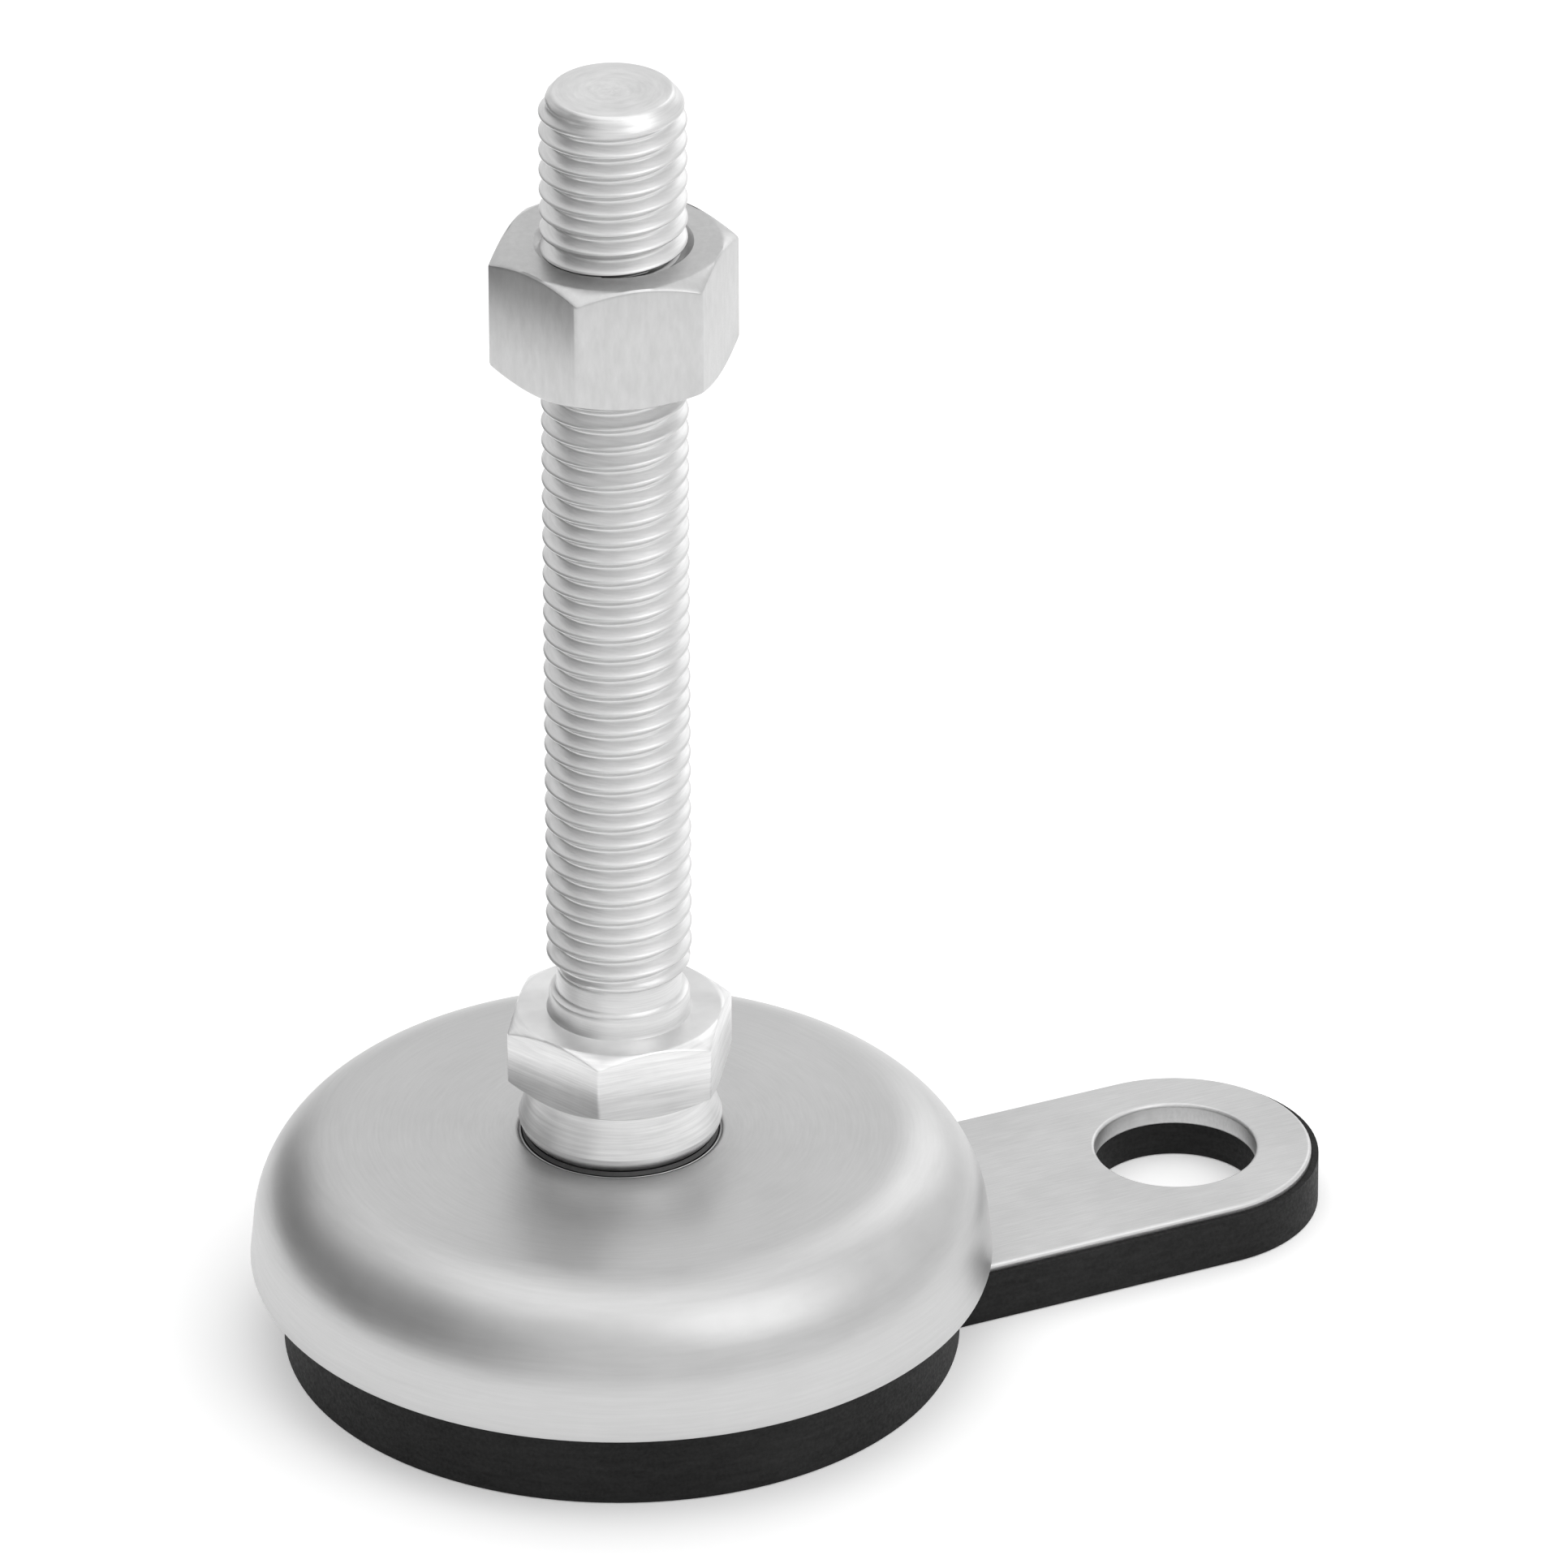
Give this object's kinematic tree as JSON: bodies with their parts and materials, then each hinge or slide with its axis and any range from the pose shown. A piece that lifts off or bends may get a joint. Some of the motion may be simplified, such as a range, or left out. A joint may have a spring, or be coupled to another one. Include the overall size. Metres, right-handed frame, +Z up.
{
  "type": "levelling foot",
  "caption": "Levelling foot: threaded stem with lock nut on a tilting ball seat, domed metal cap, rubber pad and a flat bolt-down lug.",
  "frame": {"origin": "on the stem's axis, at the underside of the rubber pad, where the foot stands on the floor", "axes": "+Z up along the stem; +X from the stem's axis towards the bolt-down lug; +Y completes the right-handed frame"},
  "size_m": [0.0937, 0.0614, 0.115],
  "materials": {
    "turned_stainless": "turned stainless steel, semi-bright, with fine turning marks",
    "pressed_stainless": "satin pressed stainless steel",
    "inner_steel": "plain steel, not seen",
    "black_rubber": "matt black moulded rubber",
    "dark_nylon": "dark nylon"
  },
  "bodies": {
    "foot": {"foot_cap": "pressed_stainless", "lug_plate": "pressed_stainless", "rubber_pad": "black_rubber", "mounting_ring": "inner_steel"},
    "seat": {"seat_liner": "dark_nylon"},
    "washer": {"swivel_washer": "inner_steel"},
    "stem": {"threaded_stem": "turned_stainless", "disc_spring": "inner_steel", "retaining_screw": "inner_steel"},
    "nut": {"lock_nut": "turned_stainless"}
  },
  "joints": [
    {"name": "tilt_x", "type": "hinge", "parent": "foot", "child": "seat", "pos_m": [0, 0, 0.02775], "axis": [1, 0, 0], "range_deg": [-4, 4]},
    {"name": "tilt_y", "type": "hinge", "parent": "seat", "child": "washer", "pos_m": [0, 0, 0.02775], "axis": [0, 1, 0], "range_deg": [-4, 4]},
    {"name": "stem_turn", "type": "hinge", "parent": "washer", "child": "stem", "pos_m": [0, 0, 0.02775], "axis": [0, 0, 1], "range_deg": [-2520, 10800]},
    {"name": "nut_travel", "type": "slide", "parent": "washer", "child": "nut", "axis": [0, 0, 1], "range_m": [-0.0526, 0.0123]}
  ],
  "couplings": [
    {"joint": "nut_travel", "follows": "stem_turn", "m_per_rad": -0.00027852}
  ]
}
